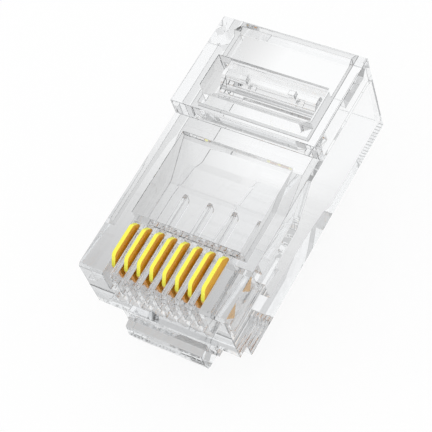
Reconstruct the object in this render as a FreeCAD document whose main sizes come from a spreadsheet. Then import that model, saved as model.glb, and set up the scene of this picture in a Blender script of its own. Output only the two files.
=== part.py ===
import FreeCAD, Part
import os
import Sketcher

# An eight-way modular plug for solid-core data cable, before it is crimped.
# The axes: X across the contacts, Y from the nose back to the cable, Z up to the contacts.
# Heights in the sheet are measured from the underside of the housing, distances along the
# plug from its nose face. The origin is the centre of the nose face.

SIZES = {
    # the outside of the housing
    "width": 11.68,
    "body_length": 21.46,
    "front_length": 13.5,
    "front_height": 6.5,
    "front_bevel": 0.2,
    "rear_height": 8.0,
    "notch_width": 2.04,
    "notch_depth": 1.0,
    "notch_height": 1.44,
    # the cable cavity, open at the rear
    "side_wall": 0.8,
    "cavity_floor": 0.5,
    "cavity_shelf": 5.3,
    "cavity_front": 13.45,
    "roof": 1.85,
    "crown_front": 14.55,
    "mouth_flare": 0.6,
    "mouth_spread": 0.3,
    "mouth_depth": 0.5,
    # the throat from the cavity to the wire channels
    "ramp_knee": 12.55,
    "ramp_rise": 0.55,
    "throat_rear": 12.3,
    "throat_floor": 1.55,
    "throat_front": 9.4,
    "guide_rear": 8.95,
    "guide_drop": 0.9,
    "guide_round": 0.45,
    "guide_wall": 0.3,
    # the recess over the conductors
    "recess_width": 8.9,
    "recess_front": 5.05,
    "recess_foot": 9.3,
    "recess_rear": 12.25,
    "recess_lip": 0.4,
    "recess_floor": 4.15,
    "conductor_web": 0.75,
    # the window of the jacket clamp
    "window_width": 8.9,
    "window_front": 14.8,
    "window_rear": 18.2,
    "window_corner": 0.6,
    "wedge_reach": 1.46,
    # the wire channels and the contact slots
    "contact_count": 8,
    "contact_pitch": 1.02,
    "channel_bore": 0.9,
    "channel_height": 2.95,
    "channel_tail": 0.3,
    "nose_wall": 0.8,
    "slot_width": 0.54,
    "slot_sill": 4.35,
    "slot_clearance": 0.1,
    # the contacts, standing proud as they are before crimping
    "contact_thickness": 0.3,
    "contact_top": 7.05,
    "contact_front": 0.95,
    "contact_length": 3.43,
    "contact_foot": 4.75,
    "nose_chamfer_run": 0.5,
    "nose_chamfer_drop": 0.85,
    "tail_chamfer": 0.5,
    "blade_round": 0.4,
    "tine_tip": 3.92,
    "tine_inset": 0.62,
    "tine_flat": 0.1,
    "tine_gap": 1.05,
    "tine_arch": 0.45,
    # the latch
    "latch_width": 6.3,
    "latch_tail_width": 3.25,
    "latch_shoulder": 8.36,
    "latch_length": 14.9,
    "latch_heel": 0.7,
    "latch_depth": 0.93,
    "latch_drop": 3.31,
    "latch_tip_rise": 0.45,
    "lip_reach": 1.0,
    "lip_height": 1.1,
    "lip_root": 1.35,
    "lip_bevel": 0.2,
    # the jacket clamp
    "clamp_width": 7.7,
    "clamp_gap": 0.04,
    "clamp_depth": 1.65,
    "clamp_height": 1.1,
    "clamp_slope": 0.9,
    "clamp_round": 0.35,
    "nub_size": 0.55,
    "nub_height": 0.35,
    "nub_spacing": 3.9,
}


class Measure:
    """A size or a sum of sizes: its value, and the sheet formula that gives it."""

    def __init__(self, value, formula):
        self.value = value
        self.formula = formula

    def __add__(self, other):
        other = measure(other)
        return Measure(self.value + other.value, f"({self.formula} + {other.formula})")

    def __sub__(self, other):
        other = measure(other)
        return Measure(self.value - other.value, f"({self.formula} - {other.formula})")

    def __mul__(self, other):
        other = measure(other)
        return Measure(self.value * other.value, f"{self.formula} * {other.formula}")

    def __truediv__(self, other):
        other = measure(other)
        return Measure(self.value / other.value, f"{self.formula} / {other.formula}")

    def __neg__(self):
        return Measure(-self.value, f"(0 - {self.formula})")


def measure(number):
    """A plain number as a measure; a measure is left as it is."""
    if isinstance(number, Measure):
        return number
    return Measure(float(number), f"({number})")


def size(name):
    """A cell of the sheet by its alias."""
    return Measure(SIZES[name], f"Sizes.{name}")


doc = FreeCAD.newDocument("modular_plug")
sheet = doc.addObject("Spreadsheet::Sheet", "Sizes")
for row, (alias, number) in enumerate(SIZES.items(), start=1):
    sheet.set(f"A{row}", alias.replace("_", " "))
    sheet.set(f"B{row}", str(number))
    sheet.setAlias(f"B{row}", alias)
doc.recompute()

# The underside of the housing lies half the nose's height below the origin.
UNDERSIDE = -(size("front_height") / 2)
ORIGIN = measure(0)


def new_body(name):
    """A named sub-part, set down by the height of the nose's centre."""
    body = doc.addObject("PartDesign::Body", name)
    body.Label = name
    body.setExpression("Placement.Base.z", UNDERSIDE.formula)
    return body


def origin_feature(body, role):
    """One of the body's own origin planes or axes."""
    return next(item for item in body.Origin.OriginFeatures if item.Role == role)


def new_sketch(body, name, plane, offset=ORIGIN):
    """A sketch on an origin plane, moved along the plane's normal."""
    sketch = body.newObject("Sketcher::SketchObject", name)
    sketch.AttachmentSupport = [(origin_feature(body, plane), "")]
    sketch.MapMode = "FlatFace"
    sketch.setExpression("AttachmentOffset.Base.z", offset.formula)
    return sketch


def pin_vertex(sketch, edge, end, across, up):
    """Ties one vertex to the sheet by its two distances from the sketch's origin."""
    for kind, distance in (("DistanceX", across), ("DistanceY", up)):
        rule = Sketcher.Constraint(kind, -1, 1, edge, end, distance.value)
        index = sketch.addConstraint(rule)
        sketch.setExpression(f"Constraints[{index}]", distance.formula)


def round_edge(start, stop, radius):
    """An arc that bulges to the right of the way from start to stop."""
    chord = stop - start
    middle = (start + stop) / 2
    outward = FreeCAD.Vector(chord.y, -chord.x, 0).normalize()
    centre_back = (radius**2 - (chord.Length / 2) ** 2) ** 0.5
    return Part.Arc(start, middle + outward * (radius - centre_back), stop)


def outline(sketch, points):
    """
    A closed outline, each vertex pinned to the sheet. The edge after a point is straight, or
    an arc where the point has a third value, its radius; such an outline runs anticlockwise.
    """
    radii = [point[2] if len(point) > 2 else None for point in points]
    points = [(measure(point[0]), measure(point[1])) for point in points]
    places = [FreeCAD.Vector(across.value, up.value, 0) for across, up in points]
    edges = []
    for start, stop, radius in zip(places, places[1:] + places[:1], radii):
        if radius is None:
            shape = Part.LineSegment(start, stop)
        else:
            shape = round_edge(start, stop, radius.value)
        edges.append(sketch.addGeometry(shape, False))
    for edge, following in zip(edges, edges[1:] + edges[:1]):
        sketch.addConstraint(Sketcher.Constraint("Coincident", edge, 2, following, 1))
    for edge, (across, up), radius in zip(edges, points, radii):
        pin_vertex(sketch, edge, 1, across, up)
        if radius is not None:
            index = sketch.addConstraint(Sketcher.Constraint("Radius", edge, radius.value))
            sketch.setExpression(f"Constraints[{index}]", radius.formula)
    return sketch


def box_outline(sketch, left, bottom, right, top):
    """A rectangular outline from its four sides."""
    return outline(sketch, [(left, bottom), (right, bottom), (right, top), (left, top)])


def bore_outline(sketch, across, up, diameter):
    """A round outline, pinned by its centre and its diameter."""
    across = measure(across)
    up = measure(up)
    centre = FreeCAD.Vector(across.value, up.value, 0)
    circle = Part.Circle(centre, FreeCAD.Vector(0, 0, 1), diameter.value / 2)
    edge = sketch.addGeometry(circle, False)
    pin_vertex(sketch, edge, 3, across, up)
    index = sketch.addConstraint(Sketcher.Constraint("Diameter", edge, diameter.value))
    sketch.setExpression(f"Constraints[{index}]", diameter.formula)
    return sketch


def slab(body, kind, name, sketch, length, both_ways=True):
    """A pad or a pocket of a sketch, both ways from its plane or one way only."""
    doc.recompute()
    before = body.Shape.Volume if body.Tip else 0.0
    feature = body.newObject(f"PartDesign::{kind}", name)
    feature.Profile = sketch
    feature.SideType = "Symmetric" if both_ways else "One side"
    feature.setExpression("Length", length.formula)
    doc.recompute()
    grown = body.Shape.Volume - before
    if grown == 0 or (grown > 0) != (kind == "Pad"):
        raise RuntimeError(f"{name} has added or cut nothing")
    return feature


def repeat(body, name, feature, count, spacing):
    """Copies of a feature in a row along X."""
    row = body.newObject("PartDesign::LinearPattern", name)
    row.Originals = [feature]
    row.Direction = (origin_feature(body, "X_Axis"), [""])
    row.setExpression("Occurrences", count.formula)
    row.setExpression("Length", ((count - 1) * spacing).formula)
    body.Tip = row
    doc.recompute()
    return row


# Places that several pieces share
half_width = size("width") / 2
outside = size("width")
first_contact = -((size("contact_count") - 1) * size("contact_pitch") / 2)
guide_ceiling = size("recess_floor") - size("conductor_web")
cavity_ceiling = size("rear_height") - size("roof")
channel_rear = size("recess_front") - size("channel_tail")
contact_rear = size("contact_front") + size("contact_length")
clamp_hinge = size("window_front") + size("wedge_reach")


# The housing: one clear moulding. The low nose block carries the contacts and slides into
# the jack, the taller rear block takes the cable.
housing = new_body("housing")

profile = outline(
    new_sketch(housing, "housing_profile", "YZ_Plane"),
    [
        (0, 0),
        (size("body_length"), 0),
        (size("body_length"), size("rear_height")),
        (size("front_length"), size("rear_height")),
        (size("front_length"), size("front_height")),
        (size("front_bevel"), size("front_height")),
        (0, size("front_height") - size("front_bevel")),
    ],
)
slab(housing, "Pad", "housing_block", profile, size("width"))

# The lower corners of the nose are notched, which keys it in the jack.
for side, sign in (("left", -1), ("right", 1)):
    inner = (half_width - size("notch_width")) * sign
    outer = outside * sign
    corner = box_outline(
        new_sketch(housing, f"notch_{side}_outline", "XZ_Plane"),
        inner,
        -size("notch_height"),
        outer,
        size("notch_height"),
    )
    slab(housing, "Pocket", f"notch_{side}", corner, size("notch_depth"), both_ways=False)

# The cable cavity behind: wide and low for the pairs side by side, with a narrower crown
# above for a round jacket.
cavity_half = half_width - size("side_wall")
cavity = box_outline(
    new_sketch(housing, "cavity_outline", "XZ_Plane", -size("cavity_front")),
    -cavity_half,
    size("cavity_floor"),
    cavity_half,
    size("cavity_shelf"),
)
slab(
    housing, "Pocket", "cavity", cavity,
    size("body_length") - size("cavity_front"), both_ways=False,
)
crown_half = size("window_width") / 2
crown_space = box_outline(
    new_sketch(housing, "crown_outline", "XZ_Plane", -size("crown_front")),
    -crown_half,
    size("cavity_floor"),
    crown_half,
    cavity_ceiling,
)
slab(
    housing, "Pocket", "crown", crown_space,
    size("body_length") - size("crown_front"), both_ways=False,
)

# The mouth flares, so that a cut jacket finds its way in: the crown upwards, and the low
# part to both sides.
mouth_rear = size("body_length")
mouth_front = mouth_rear - size("mouth_depth")
flare = outline(
    new_sketch(housing, "mouth_top_outline", "YZ_Plane"),
    [
        (mouth_front, size("cavity_shelf")),
        (mouth_rear, size("cavity_shelf")),
        (mouth_rear, cavity_ceiling + size("mouth_flare")),
        (mouth_front, cavity_ceiling),
    ],
)
slab(housing, "Pocket", "mouth_top", flare, size("window_width"))
for side, sign in (("left", -1), ("right", 1)):
    spread = outline(
        new_sketch(housing, f"mouth_{side}_outline", "XY_Plane", size("cavity_shelf")),
        [
            (crown_half * sign, mouth_front),
            (cavity_half * sign, mouth_front),
            ((cavity_half + size("mouth_spread")) * sign, mouth_rear),
            (crown_half * sign, mouth_rear),
        ],
    )
    slab(
        housing, "Pocket", f"mouth_{side}", spread,
        size("cavity_shelf") - size("cavity_floor"), both_ways=False,
    )

# Ahead of the cavity a throat narrows to the height of one row of conductors. Its floor
# rises in two ramps, its ceiling falls under the sloping back of the recess.
throat = outline(
    new_sketch(housing, "throat_outline", "YZ_Plane"),
    [
        (channel_rear, size("throat_floor")),
        (size("throat_front"), size("throat_floor")),
        (size("ramp_knee"), size("cavity_floor") + size("ramp_rise")),
        (size("cavity_front"), size("cavity_floor")),
        (size("cavity_front"), size("cavity_shelf")),
        (size("throat_rear"), size("cavity_shelf")),
        (size("throat_front"), guide_ceiling),
        (channel_rear, guide_ceiling),
    ],
)
slab(housing, "Pocket", "throat", throat, cavity_half * 2)

# Fins hang from the throat's ceiling and guide the conductors in pairs to the channels.
# Each has an upright back edge and a rounded lower corner, and is sunk into the ceiling.
guide_span = size("contact_pitch") * 2
guide_foot = guide_ceiling - size("guide_drop")
sink = size("conductor_web") / 4
guide = outline(
    new_sketch(housing, "guide_outline", "YZ_Plane", first_contact + size("contact_pitch") / 2),
    [
        (channel_rear, guide_foot),
        (size("guide_rear") - size("guide_round"), guide_foot, size("guide_round")),
        (size("guide_rear"), guide_foot + size("guide_round")),
        (size("guide_rear"), guide_ceiling + sink),
        (channel_rear, guide_ceiling + sink),
    ],
)
wall = slab(housing, "Pad", "guide_wall_1", guide, size("guide_wall"))
repeat(housing, "guide_walls", wall, size("contact_count") / 2, guide_span)

# The wire channels: a row of blind bores that end behind the nose wall.
channel = bore_outline(
    new_sketch(housing, "channel_outline", "XZ_Plane", -size("nose_wall")),
    first_contact,
    size("channel_height"),
    size("channel_bore"),
)
bore = slab(
    housing, "Pocket", "channel_1", channel, channel_rear - size("nose_wall"), both_ways=False
)
repeat(housing, "channels", bore, size("contact_count"), size("contact_pitch"))

# The recess over the conductors: a sloping back, a level floor over a thin web that the
# crimp presses down on the conductors, and an upright front.
above = size("contact_top")
recess = outline(
    new_sketch(housing, "recess_outline", "YZ_Plane"),
    [
        (size("recess_front"), above),
        (size("recess_front"), size("recess_floor")),
        (size("recess_foot"), size("recess_floor")),
        (size("recess_rear"), size("front_height") - size("recess_lip")),
        (size("recess_rear"), above),
    ],
)
slab(housing, "Pocket", "recess", recess, size("recess_width"))

# The contact slots: open above and at the front, and down into the channels.
slot_front = size("contact_front") - size("slot_clearance")
slot = outline(
    new_sketch(housing, "slot_outline", "YZ_Plane", first_contact),
    [
        (-size("nose_wall"), above),
        (-size("nose_wall"), size("slot_sill")),
        (slot_front, size("slot_sill")),
        (slot_front, size("channel_height")),
        (contact_rear + size("slot_clearance"), size("channel_height")),
        (contact_rear + size("slot_clearance"), above),
    ],
)
opening = slab(housing, "Pocket", "slot_1", slot, size("slot_width"))
repeat(housing, "slots", opening, size("contact_count"), size("contact_pitch"))

# The window over the cable: upright walls with cut front corners, and a wedge across its
# front for the clamp to hang from. The clamp locks under the upright back.
cut = size("window_corner")
window = outline(
    new_sketch(housing, "window_outline", "XY_Plane", size("rear_height")),
    [
        (-crown_half, size("window_rear")),
        (-crown_half, size("window_front") + cut),
        (cut - crown_half, size("window_front")),
        (crown_half - cut, size("window_front")),
        (crown_half, size("window_front") + cut),
        (crown_half, size("window_rear")),
    ],
)
slab(housing, "Pocket", "window", window, (size("roof") + sink) * 2)
wedge = outline(
    new_sketch(housing, "wedge_outline", "YZ_Plane"),
    [
        (size("window_front"), cavity_ceiling),
        (clamp_hinge, cavity_ceiling),
        (size("window_front"), size("rear_height")),
    ],
)
slab(housing, "Pad", "wedge", wedge, (crown_half - cut) * 2)


# The contacts: gold-plated blades stamped from sheet, standing half a millimetre proud
# until the crimp drives them down and their tines through the conductors.


def edges_across(shape, corners):
    """Names of the straight edges that run along X through the given corners."""
    found = []
    for number, edge in enumerate(shape.Edges, start=1):
        box = edge.BoundBox
        for across, up in corners:
            aside = abs(box.Center.y - across.value) + abs(box.Center.z - up.value)
            if box.YLength + box.ZLength + aside < 1e-6:
                found.append(f"Edge{number}")
    return found


def make_contact(number):
    """One contact blade, in its slot."""
    body = new_body(f"contact_{number}")
    place = first_contact + size("contact_pitch") * (number - 1)
    front = size("contact_front")
    middle = front + size("contact_length") / 2
    half_gap = size("tine_gap") / 2
    half_flat = size("tine_flat") / 2
    front_tip = front + size("tine_inset")
    rear_tip = contact_rear - size("tine_inset")
    blade = outline(
        new_sketch(body, f"blade_outline_{number}", "YZ_Plane", place),
        [
            (front, size("contact_top") - size("nose_chamfer_drop")),
            (front + size("nose_chamfer_run"), size("contact_top")),
            (contact_rear - size("tail_chamfer"), size("contact_top")),
            (contact_rear, size("contact_top") - size("tail_chamfer")),
            (contact_rear, size("contact_foot")),
            (rear_tip + half_flat, size("tine_tip")),
            (rear_tip - half_flat, size("tine_tip")),
            (middle + half_gap, size("contact_foot")),
            (middle + half_gap / 2, size("contact_foot") + size("tine_arch")),
            (middle - half_gap / 2, size("contact_foot") + size("tine_arch")),
            (middle - half_gap, size("contact_foot")),
            (front_tip + half_flat, size("tine_tip")),
            (front_tip - half_flat, size("tine_tip")),
            (front, size("contact_foot")),
        ],
    )
    blank = slab(body, "Pad", f"blade_{number}", blade, size("contact_thickness"))
    corners = [
        (front, size("contact_top") - size("nose_chamfer_drop")),
        (front + size("nose_chamfer_run"), size("contact_top")),
        (contact_rear - size("tail_chamfer"), size("contact_top")),
        (contact_rear, size("contact_top") - size("tail_chamfer")),
    ]
    rounding = body.newObject("PartDesign::Fillet", f"blade_rounding_{number}")
    rounding.Base = (blank, edges_across(blank.Shape, corners))
    rounding.setExpression("Radius", "Sizes.blade_round")
    return body


contacts = [make_contact(number) for number in range(1, SIZES["contact_count"] + 1)]


# The latch: a springy tongue that leaves the nose at its lower edge, folds round under the
# housing and runs back and down. Wide shoulders lock it in the jack, a narrow tail frees it.
latch = new_body("latch")
reach = -size("lip_reach")
tongue_fall = (size("latch_drop") - size("latch_depth")) / (
    size("latch_length") - size("latch_heel")
)
tongue = outline(
    new_sketch(latch, "latch_outline", "YZ_Plane"),
    [
        (0, 0),
        (0, size("lip_root")),
        (reach + size("lip_bevel") / 2, size("lip_height")),
        (reach, 0),
        (reach + size("lip_bevel"), size("lip_bevel") / 2 - size("latch_depth")),
        (reach + size("lip_bevel") * 2, -size("latch_depth")),
        (size("latch_heel"), -size("latch_depth")),
        (size("latch_length"), -size("latch_drop")),
        (size("latch_length"), size("latch_tip_rise") - size("latch_drop")),
        (
            size("latch_length") - size("latch_tip_rise"),
            -(tongue_fall * (size("latch_length") - size("latch_tip_rise"))),
        ),
    ],
)
slab(latch, "Pad", "latch_strip", tongue, size("latch_width"))
for side, sign in (("left", -1), ("right", 1)):
    flank = box_outline(
        new_sketch(latch, f"shoulder_{side}_outline", "XY_Plane"),
        size("latch_tail_width") / 2 * sign,
        size("latch_shoulder"),
        size("latch_width") * sign,
        size("body_length"),
    )
    slab(latch, "Pocket", f"shoulder_{side}", flank, size("rear_height") * 2)


# The jacket clamp: a bar across the window, joined to the foot of its sloping wall by a
# thin web. The crimp turns it down on the cable's jacket.
clamp = new_body("jacket_clamp")
bar_front = clamp_hinge + size("clamp_gap")
bar_rear = bar_front + size("clamp_depth")
bar_foot = cavity_ceiling
bar_top = bar_foot + size("clamp_height")
bar_round = size("clamp_round")
bar = outline(
    new_sketch(clamp, "bar_outline", "YZ_Plane"),
    [
        (bar_front, bar_foot),
        (bar_rear, bar_foot),
        (bar_rear, bar_top - bar_round, bar_round),
        (bar_rear - bar_round, bar_top),
        (bar_front + size("clamp_slope"), bar_top),
        (bar_front + bar_round / 2, bar_foot + bar_round / 2),
    ],
)
slab(clamp, "Pad", "bar", bar, size("clamp_width"))
for side, sign in (("left", -1), ("right", 1)):
    place = size("nub_spacing") / 2 * sign
    half_nub = size("nub_size") / 2
    nub = box_outline(
        new_sketch(clamp, f"nub_{side}_outline", "XY_Plane", bar_foot),
        place - half_nub,
        bar_front + size("clamp_slope") - half_nub / 2,
        place + half_nub,
        bar_front + size("clamp_slope") + half_nub,
    )
    slab(
        clamp, "Pad", f"nub_{side}", nub, size("clamp_height") + size("nub_height"),
        both_ways=False,
    )

doc.recompute()


# Every object has to be sound before a piece is written.
for item in doc.Objects:
    if "Invalid" in item.State or "Error" in item.State:
        raise RuntimeError(f"{item.Label} failed: {item.State}")

os.makedirs("parts", exist_ok=True)
for piece in [housing, latch, clamp] + contacts:
    shape = piece.Shape
    if shape.isNull() or not shape.isValid() or len(shape.Solids) != 1:
        raise RuntimeError(f"{piece.Label} is not one valid solid")
    shape.exportStep(f"parts/{piece.Label}.step")
    print(piece.Label, round(shape.Volume, 3), "mm3,", len(shape.Faces), "faces")
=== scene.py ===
import math

import bmesh
import bpy
from mathutils import Matrix, Vector


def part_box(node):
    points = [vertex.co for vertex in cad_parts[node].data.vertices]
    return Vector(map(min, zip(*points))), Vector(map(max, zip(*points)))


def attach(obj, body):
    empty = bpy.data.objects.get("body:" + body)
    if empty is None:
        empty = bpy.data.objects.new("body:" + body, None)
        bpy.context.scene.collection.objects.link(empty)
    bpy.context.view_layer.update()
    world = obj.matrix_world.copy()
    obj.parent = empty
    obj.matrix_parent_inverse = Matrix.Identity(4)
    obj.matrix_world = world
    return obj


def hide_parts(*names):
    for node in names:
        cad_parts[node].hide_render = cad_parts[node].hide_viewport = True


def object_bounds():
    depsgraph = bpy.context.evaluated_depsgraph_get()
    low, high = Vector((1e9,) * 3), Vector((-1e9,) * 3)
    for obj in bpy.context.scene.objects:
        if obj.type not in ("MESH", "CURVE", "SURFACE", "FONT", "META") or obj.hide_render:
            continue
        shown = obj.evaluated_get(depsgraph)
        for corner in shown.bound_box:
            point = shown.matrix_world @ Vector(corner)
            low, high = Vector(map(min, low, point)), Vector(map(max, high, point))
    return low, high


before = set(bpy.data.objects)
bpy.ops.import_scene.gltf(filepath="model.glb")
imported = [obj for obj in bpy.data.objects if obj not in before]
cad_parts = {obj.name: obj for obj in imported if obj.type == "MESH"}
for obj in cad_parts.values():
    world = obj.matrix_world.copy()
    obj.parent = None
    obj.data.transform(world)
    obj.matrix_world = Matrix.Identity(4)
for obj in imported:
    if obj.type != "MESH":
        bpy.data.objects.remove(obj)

cad_box = [list(corner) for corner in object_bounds()]

# The camera: it looks down on the nose from the front right and is held tilted, so that the
# plug lies across the picture. It is a long lens, eleven centimetres from the plug.
MM = 0.001
CAMERA_AZIMUTH = math.radians(48.746)
CAMERA_ELEVATION = math.radians(54.957)
CAMERA_ROLL = math.radians(-23.057)
CAMERA_DISTANCE = 106.84 * MM
CAMERA_LENS = 126.88
CAMERA_SEES_FROM = 1 * MM
CAMERA_SEES_TO = 10000 * MM
AIM = Vector((0, 10.7, 0.75)) * MM
AIM_SHIFT_RIGHT = -1.265 * MM
AIM_SHIFT_UP = -2.076 * MM

back = Vector((
    math.sin(CAMERA_AZIMUTH) * math.cos(CAMERA_ELEVATION),
    -math.cos(CAMERA_AZIMUTH) * math.cos(CAMERA_ELEVATION),
    math.sin(CAMERA_ELEVATION),
))
level = Vector((math.cos(CAMERA_AZIMUTH), math.sin(CAMERA_AZIMUTH), 0))
plumb = back.cross(level)
right = math.cos(CAMERA_ROLL) * level + math.sin(CAMERA_ROLL) * plumb
up = math.cos(CAMERA_ROLL) * plumb - math.sin(CAMERA_ROLL) * level
eye = AIM + AIM_SHIFT_RIGHT * right + AIM_SHIFT_UP * up + CAMERA_DISTANCE * back
camera = bpy.data.objects.new("camera", bpy.data.cameras.new("camera"))
camera.data.lens = CAMERA_LENS
camera.data.clip_start = CAMERA_SEES_FROM
camera.data.clip_end = CAMERA_SEES_TO
camera.matrix_world = Matrix.Translation(eye) @ Matrix((right, up, back)).transposed().to_4x4()
bpy.context.collection.objects.link(camera)
bpy.context.scene.camera = camera
bpy.context.scene.view_settings.view_transform = "Standard"

# The room: white all round, which lights the plug softly. What the eye sees through the clear
# plastic is white overhead, with dark cards left and right of the plug and grey ones in front
# and behind, because only against dark cards does clear plastic show its edges.
WHITE = (1, 1, 1, 1)
CARD_CORNER = 0.3

# A card's greys go by height, from 0 at the horizon to 1 straight overhead.
SIDE_CARDS = ((0.0, 0.3), (0.08, 0.25), (0.2, 0.05), (0.42, 0.25), (0.64, 0.8), (0.82, 0.95))
END_CARDS = ((0.0, 0.6), (0.42, 0.55), (0.64, 0.75), (0.8, 1.0))


def add_node(tree, kind, feeds=(), **settings):
    """Adds a node; each feed is an input and the value, or the other node's output, it takes."""
    node = tree.nodes.new(kind)
    for name, value in settings.items():
        setattr(node, name, value)
    for socket, value in feeds:
        if isinstance(value, bpy.types.NodeSocket):
            tree.links.new(value, node.inputs[socket])
        else:
            node.inputs[socket].default_value = value
    return node


def add_math(tree, operation, *values):
    """Adds a math node that works on these values; gives its result."""
    return add_node(tree, "ShaderNodeMath", enumerate(values), operation=operation).outputs["Value"]


def add_mix(tree, factor, first, second, kind="RGBA"):
    """Adds a mix of two colours, or of two numbers when the kind is FLOAT; gives its result."""
    feeds = [("Factor", factor), ("A", first), ("B", second)]
    return add_node(tree, "ShaderNodeMix", feeds, data_type=kind).outputs["Result"]


def add_grey_ramp(tree, value, stops):
    """Adds a colour ramp that turns a value into a grey by these stops; gives the grey."""
    ramp = add_node(tree, "ShaderNodeValToRGB", [("Fac", value)])
    for place, grey in stops[1:-1]:
        ramp.color_ramp.elements.new(place)
    for element, (place, grey) in zip(ramp.color_ramp.elements, stops):
        element.position = place
        element.color = (grey, grey, grey, 1)
    return ramp.outputs["Color"]


def add_cards(tree):
    """Adds the cards round the plug; gives the grey that they show in each direction."""
    direction = add_node(tree, "ShaderNodeTexCoord")
    parts = add_node(tree, "ShaderNodeSeparateXYZ", [("Vector", direction.outputs["Generated"])])
    side_cards = add_grey_ramp(tree, parts.outputs["Z"], SIDE_CARDS)
    end_cards = add_grey_ramp(tree, parts.outputs["Z"], END_CARDS)
    across = add_math(tree, "ABSOLUTE", parts.outputs["X"])
    along = add_math(tree, "ABSOLUTE", parts.outputs["Y"])
    to_side = add_node(tree, "ShaderNodeMapRange", [
        ("Value", add_math(tree, "SUBTRACT", across, along)),
        ("From Min", -CARD_CORNER),
        ("From Max", CARD_CORNER),
    ])
    return add_mix(tree, to_side.outputs["Result"], end_cards, side_cards)


def add_view_through(tree, ray):
    """Picks out what the eye sees through the plastic, and not the light on the gold in it."""
    direct = add_math(tree, "LESS_THAN", ray.outputs["Diffuse Depth"], 1)
    return add_math(tree, "MULTIPLY", ray.outputs["Is Transmission Ray"], direct)


def make_room():
    """The room: white, except that the eye sees the cards through the plastic."""
    room = bpy.data.worlds.new("studio")
    room.use_nodes = True
    tree = room.node_tree
    sky = next(node for node in tree.nodes if node.type == "BACKGROUND")
    ray = add_node(tree, "ShaderNodeLightPath")
    seen = add_mix(tree, add_view_through(tree, ray), WHITE, add_cards(tree))
    tree.links.new(seen, sky.inputs["Color"])
    return room


bpy.context.scene.world = make_room()

# The table: a white sheet whose glow has a painted pool of light just behind the plug, which is
# seen only through the plastic. Beside the plug the sheet is plain white, with the plug's faint
# shadow.
TABLE_SIZE = 2000 * MM
TABLE_WHITE = (0.98, 0.98, 0.98, 1)
TABLE_GLOW = 0.9
POOL_GLOW = 0.97
POOL_MIDDLE = Vector((-1, 24, 0)) * MM
POOL_REACH = 80 * MM
POOL_NARROWING = 1.7

# The painted pool's greys go outwards, from 0 at its middle to 1 at its reach.
PAINTED_POOL_GREYS = ((0.1, 1.0), (0.16, 0.82), (0.225, 0.66), (0.32, 0.5), (0.56, 0.3), (1.0, 0.3))

table_top = cad_box[0][2]


def add_painted_pool(tree):
    """Adds the painted pool of light; gives its painted grey at each place on the table."""
    place = add_node(tree, "ShaderNodeTexCoord")
    from_middle = add_node(tree, "ShaderNodeMapping", [
        ("Vector", place.outputs["Object"]),
        ("Location", (-POOL_MIDDLE.x * POOL_NARROWING, -POOL_MIDDLE.y, -table_top)),
        ("Scale", (POOL_NARROWING, 1, 1)),
    ])
    distance = add_node(
        tree, "ShaderNodeVectorMath", [(0, from_middle.outputs["Vector"])], operation="LENGTH"
    )
    share = add_math(tree, "DIVIDE", distance.outputs["Value"], POOL_REACH)
    return add_grey_ramp(tree, share, PAINTED_POOL_GREYS)


def make_table_white():
    """The white sheet, which glows enough to keep the plug's shadow on it faint."""
    material = bpy.data.materials.new("table_white")
    material.use_nodes = True
    tree = material.node_tree
    tree.nodes.clear()
    ray = add_node(tree, "ShaderNodeLightPath")
    view_through = add_view_through(tree, ray)
    camera_ray, glossy_ray = ray.outputs["Is Camera Ray"], ray.outputs["Is Glossy Ray"]
    plain_view = add_math(tree, "MAXIMUM", camera_ray, glossy_ray)
    plain_glow = add_math(tree, "MULTIPLY", plain_view, TABLE_GLOW)
    glow_share = add_mix(tree, view_through, plain_glow, POOL_GLOW, kind="FLOAT")
    # Seen through the plastic, the sheet's glow carries the painted pool of light, with painted
    # shade further out.
    glow_colour = add_mix(tree, view_through, WHITE, add_painted_pool(tree))
    sheet = add_node(tree, "ShaderNodeBsdfDiffuse", [("Color", TABLE_WHITE)])
    glow = add_node(tree, "ShaderNodeEmission", [("Color", glow_colour)])
    surface = add_node(tree, "ShaderNodeMixShader", [
        (0, glow_share),
        (1, sheet.outputs["BSDF"]),
        (2, glow.outputs["Emission"]),
    ])
    add_node(tree, "ShaderNodeOutputMaterial", [("Surface", surface.outputs["Shader"])])
    return material


half = TABLE_SIZE / 2
table_mesh = bpy.data.meshes.new("table")
table_mesh.from_pydata(
    [(x, y, table_top) for x, y in ((-half, -half), (half, -half), (half, half), (-half, half))],
    [],
    [(0, 1, 2, 3)],
)
table_mesh.materials.append(make_table_white())
table = bpy.data.objects.new("table", table_mesh)
bpy.context.collection.objects.link(table)

# The housing: one moulding of clear polycarbonate. The mould is polished, so its faces are
# flat and clear, with the faint waves of cooled plastic, and every edge has the mould's small
# rounding, which draws the fine dark lines.
MERGE_WITHIN = 0.0005 * MM
FLAT_WITHIN = math.radians(1)
EDGE_ROUND = 0.05 * MM
ROUND_STEPS = 3
ROUNDED_ABOVE = math.radians(25)
WAVE_DETAIL = 1.0
CLEAR_WAVE_LENGTH = 2.5 * MM
CLEAR_WAVE_HEIGHT = 0.004 * MM
CLEAR_LEAST_ROUGHNESS = 0.0
CLEAR_ADDED_ROUGHNESS = 0.004
CLEAR_TINT = (0.994, 0.997, 1.0, 1)
CLEAR_INDEX = 1.585
SMOKE_GREY = (0.9, 0.91, 0.92, 1)
SMOKE_DENSITY = 60.0
BOUNCES = 32

cycles = bpy.context.scene.cycles
cycles.max_bounces = BOUNCES
cycles.glossy_bounces = BOUNCES
cycles.transmission_bounces = BOUNCES


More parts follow.
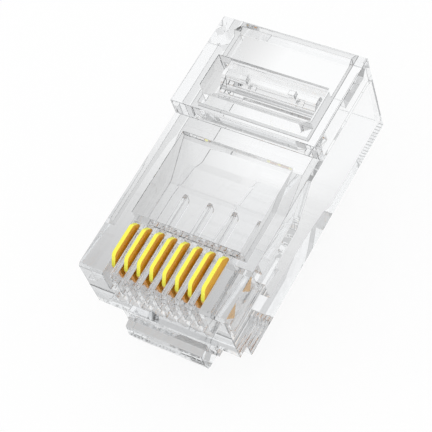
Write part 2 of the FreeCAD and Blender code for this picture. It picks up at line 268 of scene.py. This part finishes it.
def make_polish():
    """The group that gives a polished face its slow waves and its uneven gloss."""
    group = bpy.data.node_groups.new("polish", "ShaderNodeTree")
    for name in ("Wave Length", "Least Roughness", "Added Roughness"):
        group.interface.new_socket(name, in_out="INPUT", socket_type="NodeSocketFloat")
    for name in ("Height", "Roughness"):
        group.interface.new_socket(name, in_out="OUTPUT", socket_type="NodeSocketFloat")
    given = add_node(group, "NodeGroupInput").outputs
    place = add_node(group, "ShaderNodeTexCoord")
    waves = add_node(group, "ShaderNodeTexNoise", [
        ("Vector", place.outputs["Object"]),
        ("Scale", add_math(group, "DIVIDE", 1, given["Wave Length"])),
        ("Detail", WAVE_DETAIL),
    ])
    height = waves.outputs["Fac"]
    least, added = given["Least Roughness"], given["Added Roughness"]
    roughness = add_math(group, "MULTIPLY_ADD", height, added, least)
    add_node(group, "NodeGroupOutput", [("Height", height), ("Roughness", roughness)])
    return group


polish = make_polish()


def make_polished(name, wave_length, wave_height, least_roughness, added_roughness):
    """A material with the polish in it; gives its tree and its shader as well."""
    material = bpy.data.materials.new(name)
    material.use_nodes = True
    tree = material.node_tree
    shader = next(node for node in tree.nodes if node.type == "BSDF_PRINCIPLED")
    finish = add_node(tree, "ShaderNodeGroup", [
        ("Wave Length", wave_length),
        ("Least Roughness", least_roughness),
        ("Added Roughness", added_roughness),
    ], node_tree=polish)
    relief = add_node(tree, "ShaderNodeBump", [
        ("Distance", wave_height),
        ("Height", finish.outputs["Height"]),
    ])
    tree.links.new(relief.outputs["Normal"], shader.inputs["Normal"])
    tree.links.new(finish.outputs["Roughness"], shader.inputs["Roughness"])
    return material, tree, shader


def make_clear_plastic():
    """Clear polycarbonate, a little grey where the eye looks through much of it."""
    material, tree, shader = make_polished(
        "clear_polycarbonate",
        CLEAR_WAVE_LENGTH,
        CLEAR_WAVE_HEIGHT,
        CLEAR_LEAST_ROUGHNESS,
        CLEAR_ADDED_ROUGHNESS,
    )
    shader.inputs["Base Color"].default_value = CLEAR_TINT
    shader.inputs["Transmission Weight"].default_value = 1
    shader.inputs["IOR"].default_value = CLEAR_INDEX
    smoke = add_node(tree, "ShaderNodeVolumeAbsorption", [
        ("Color", SMOKE_GREY),
        ("Density", SMOKE_DENSITY),
    ])
    output = next(node for node in tree.nodes if node.type == "OUTPUT_MATERIAL")
    tree.links.new(smoke.outputs["Volume"], output.inputs["Volume"])
    return material


clear_plastic = make_clear_plastic()


def round_edges(piece, width):
    """Gives every sharp edge of a piece a small rounding."""
    rounding = piece.modifiers.new("rounding", "BEVEL")
    rounding.width = width
    rounding.segments = ROUND_STEPS
    rounding.limit_method = "ANGLE"
    rounding.angle_limit = ROUNDED_ABOVE
    rounding.use_clamp_overlap = False


def make_moulding(node):
    """A clear moulding of the node's shape, with whole flat faces and rounded edges."""
    shape = bmesh.new()
    shape.from_mesh(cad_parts[node].data)
    bmesh.ops.remove_doubles(shape, verts=shape.verts, dist=MERGE_WITHIN)
    bmesh.ops.dissolve_limit(
        shape, angle_limit=FLAT_WITHIN, verts=shape.verts, edges=shape.edges
    )
    mesh = bpy.data.meshes.new(node + "_moulding")
    shape.to_mesh(mesh)
    shape.free()
    mesh.shade_flat()
    mesh.materials.append(clear_plastic)
    moulding = bpy.data.objects.new(node + "_moulding", mesh)
    bpy.context.collection.objects.link(moulding)
    round_edges(moulding, EDGE_ROUND)
    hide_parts(node)
    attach(moulding, node)


make_moulding("housing")

# The contacts: eight blades stamped from copper alloy sheet and plated with bright gold. They
# stand up in the slots of the nose, with two tines each that point down at the conductors.
CONTACT_COUNT = 8
BLADE_EDGE_ROUND = 0.015 * MM
SHOULDER_ROUND = 0.4 * MM
SHOULDER_STEPS = 6
NOSE_RUN = 0.5 * MM
NOSE_DROP = 0.85 * MM
TAIL_CUT = 0.5 * MM
TINE_LENGTH = 0.83 * MM
TINE_INSET = 0.62 * MM
TINE_TIP = 0.1 * MM
TINE_GAP = 1.05 * MM
TINE_ARCH = 0.45 * MM
GOLD_METALLIC = 0.25
GOLD_WAVE_LENGTH = 0.3 * MM
GOLD_WAVE_HEIGHT = 0.001 * MM
GOLD_LEAST_ROUGHNESS = 0.18
GOLD_ADDED_ROUGHNESS = 0.15
# The gold's colours hold painted light: a painted highlight on the narrow edges, and painted shade
# on the flat sides and down in the slot.
GOLD_EDGE_HIGHLIGHT = (1.0, 0.97, 0.1, 1)
GOLD_SIDE_SHADE = (1.0, 0.5, 0.02, 1)
GOLD_SLOT_SHADE = (1.0, 0.42, 0.05, 1)

# How far sideways a face looks where the painted shade of a flat side begins, and where it is full.
SIDE_SHADE_BEGINS = 0.5
SIDE_SHADE_FULL = 0.9

# Depths below the blade's top, down to which the edges keep their painted highlight, and below
# which they carry the painted shade of the slot.
EDGE_HIGHLIGHT_DEPTH = 0.85 * MM
SLOT_SHADE_DEPTH = 1.2 * MM


def make_gold_with_painted_light():
    """
    Bright gold, with painted light in its colour: a painted highlight makes the narrow edges
    yellow, and painted shade makes the flat sides orange. Down in the slot, painted shade makes the
    edges orange too.
    """
    material, tree, shader = make_polished(
        "gold_plating_painted_light",
        GOLD_WAVE_LENGTH,
        GOLD_WAVE_HEIGHT,
        GOLD_LEAST_ROUGHNESS,
        GOLD_ADDED_ROUGHNESS,
    )
    shader.inputs["Metallic"].default_value = GOLD_METALLIC
    place = add_node(tree, "ShaderNodeTexCoord")
    facing = add_node(tree, "ShaderNodeSeparateXYZ", [("Vector", place.outputs["Normal"])])
    side_shade = add_node(tree, "ShaderNodeMapRange", [
        ("Value", add_math(tree, "ABSOLUTE", facing.outputs["X"])),
        ("From Min", SIDE_SHADE_BEGINS),
        ("From Max", SIDE_SHADE_FULL),
    ])
    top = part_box("contact_1")[1][2]
    height = add_node(tree, "ShaderNodeSeparateXYZ", [("Vector", place.outputs["Object"])])
    edge_highlight_share = add_node(tree, "ShaderNodeMapRange", [
        ("Value", height.outputs["Z"]),
        ("From Min", top - SLOT_SHADE_DEPTH),
        ("From Max", top - EDGE_HIGHLIGHT_DEPTH),
    ])
    # Painted shade: the edges turn orange down in the slot, and the flat sides are orange.
    edge = add_mix(tree, edge_highlight_share.outputs["Result"], GOLD_SLOT_SHADE, GOLD_EDGE_HIGHLIGHT)
    colour = add_mix(tree, side_shade.outputs["Result"], edge, GOLD_SIDE_SHADE)
    tree.links.new(colour, shader.inputs["Base Color"])
    return material


def make_blade_tree():
    """The tree that stamps a blade: an outline, its rounded shoulders, and its thickness."""
    tree = bpy.data.node_groups.new("contact_blade", "GeometryNodeTree")
    for name, kind in (
        ("Outline", "NodeSocketGeometry"),
        ("Thickness", "NodeSocketFloat"),
        ("Place", "NodeSocketFloat"),
        ("Corner Radius", "NodeSocketFloat"),
        ("Plating", "NodeSocketMaterial"),
    ):
        tree.interface.new_socket(name, in_out="INPUT", socket_type=kind)
    tree.interface.new_socket("Blade", in_out="OUTPUT", socket_type="NodeSocketGeometry")
    given = add_node(tree, "NodeGroupInput").outputs
    loop = add_node(tree, "GeometryNodeMeshToCurve", [("Mesh", given["Outline"])])
    shoulder = add_node(
        tree, "GeometryNodeInputNamedAttribute", [("Name", "shoulder")], data_type="FLOAT"
    ).outputs["Attribute"]
    rounded = add_node(tree, "GeometryNodeFilletCurve", [
        ("Curve", loop.outputs["Curve"]),
        ("Count", SHOULDER_STEPS),
        ("Radius", add_math(tree, "MULTIPLY", shoulder, given["Corner Radius"])),
    ], mode="POLY")
    face = add_node(
        tree, "GeometryNodeFillCurve", [("Curve", rounded.outputs["Curve"])], mode="NGONS"
    )
    upright = add_node(tree, "ShaderNodeCombineXYZ", [("Z", given["Thickness"])])
    raised = add_node(tree, "GeometryNodeExtrudeMesh", [
        ("Mesh", face.outputs["Mesh"]),
        ("Offset", upright.outputs["Vector"]),
        ("Individual", False),
    ])
    under = add_node(tree, "GeometryNodeFlipFaces", [("Mesh", face.outputs["Mesh"])])
    both = add_node(tree, "GeometryNodeJoinGeometry", [
        ("Geometry", raised.outputs["Mesh"]),
        ("Geometry", under.outputs["Mesh"]),
    ])
    closed = add_node(tree, "GeometryNodeMergeByDistance", [
        ("Geometry", both.outputs["Geometry"]),
        ("Distance", MERGE_WITHIN),
    ])
    near_side = add_math(tree, "MULTIPLY_ADD", given["Thickness"], -0.5, given["Place"])
    in_slot = add_node(tree, "ShaderNodeCombineXYZ", [("X", near_side)])
    stood_up = add_node(tree, "GeometryNodeTransform", [
        ("Geometry", closed.outputs["Geometry"]),
        ("Translation", in_slot.outputs["Vector"]),
        ("Rotation", (math.pi / 2, 0, math.pi / 2)),
    ])
    real = add_node(
        tree, "GeometryNodeRealizeInstances", [("Geometry", stood_up.outputs["Geometry"])]
    )
    plated = add_node(tree, "GeometryNodeSetMaterial", [
        ("Geometry", real.outputs["Geometry"]),
        ("Material", given["Plating"]),
    ])
    add_node(tree, "NodeGroupOutput", [("Blade", plated.outputs["Geometry"])])
    return tree


def draw_blade_outline(name, low, high):
    """The blade's outline, drawn flat: along the plug as x and up as y."""
    front, rear, top, tip = low.y, high.y, high.z, low.z
    middle = (front + rear) / 2
    foot = tip + TINE_LENGTH
    shoulders = [
        (front, top - NOSE_DROP),
        (front + NOSE_RUN, top),
        (rear - TAIL_CUT, top),
        (rear, top - TAIL_CUT),
    ]
    tines = [
        (rear, foot),
        (rear - TINE_INSET + TINE_TIP / 2, tip),
        (rear - TINE_INSET - TINE_TIP / 2, tip),
        (middle + TINE_GAP / 2, foot),
        (middle + TINE_GAP / 4, foot + TINE_ARCH),
        (middle - TINE_GAP / 4, foot + TINE_ARCH),
        (middle - TINE_GAP / 2, foot),
        (front + TINE_INSET + TINE_TIP / 2, tip),
        (front + TINE_INSET - TINE_TIP / 2, tip),
        (front, foot),
    ]
    points = shoulders + tines
    count = len(points)
    mesh = bpy.data.meshes.new(name)
    mesh.from_pydata(
        [(along, high_up, 0) for along, high_up in points],
        [(point, (point + 1) % count) for point in range(count)],
        [],
    )
    shoulder = mesh.attributes.new("shoulder", "FLOAT", "POINT")
    for point in range(len(shoulders)):
        shoulder.data[point].value = 1
    return mesh


gold = make_gold_with_painted_light()
blade_tree = make_blade_tree()
sockets = {
    item.name: item.identifier
    for item in blade_tree.interface.items_tree
    if item.in_out == "INPUT"
}
for number in range(1, CONTACT_COUNT + 1):
    contact = f"contact_{number}"
    low, high = (Vector(corner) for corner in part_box(contact))
    outline = draw_blade_outline(f"blade_outline_{number}", low, high)
    blade = bpy.data.objects.new(f"blade_{number}", outline)
    bpy.context.collection.objects.link(blade)
    stamping = blade.modifiers.new("stamping", "NODES")
    stamping.node_group = blade_tree
    stamping[sockets["Thickness"]] = high.x - low.x
    stamping[sockets["Place"]] = (low.x + high.x) / 2
    stamping[sockets["Corner Radius"]] = SHOULDER_ROUND
    stamping[sockets["Plating"]] = gold
    stamped = blade.evaluated_get(bpy.context.evaluated_depsgraph_get())
    mesh = bpy.data.meshes.new_from_object(stamped)
    mesh.name = f"blade_{number}"
    blade.modifiers.clear()
    blade.data = mesh
    mesh.shade_flat()
    round_edges(blade, BLADE_EDGE_ROUND)
    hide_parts(contact)
    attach(blade, contact)

# The latch: a springy tongue of the same clear plastic, moulded on at the lower edge of the
# nose. It runs back under the plug, and its two shoulders catch behind the jack's stops.
make_moulding("latch")

# The jacket clamp: a bar of the same plastic in the window of the rear block. It hangs on a
# thin web along its front edge, and the crimp pushes it down on to the cable's jacket.
make_moulding("jacket_clamp")
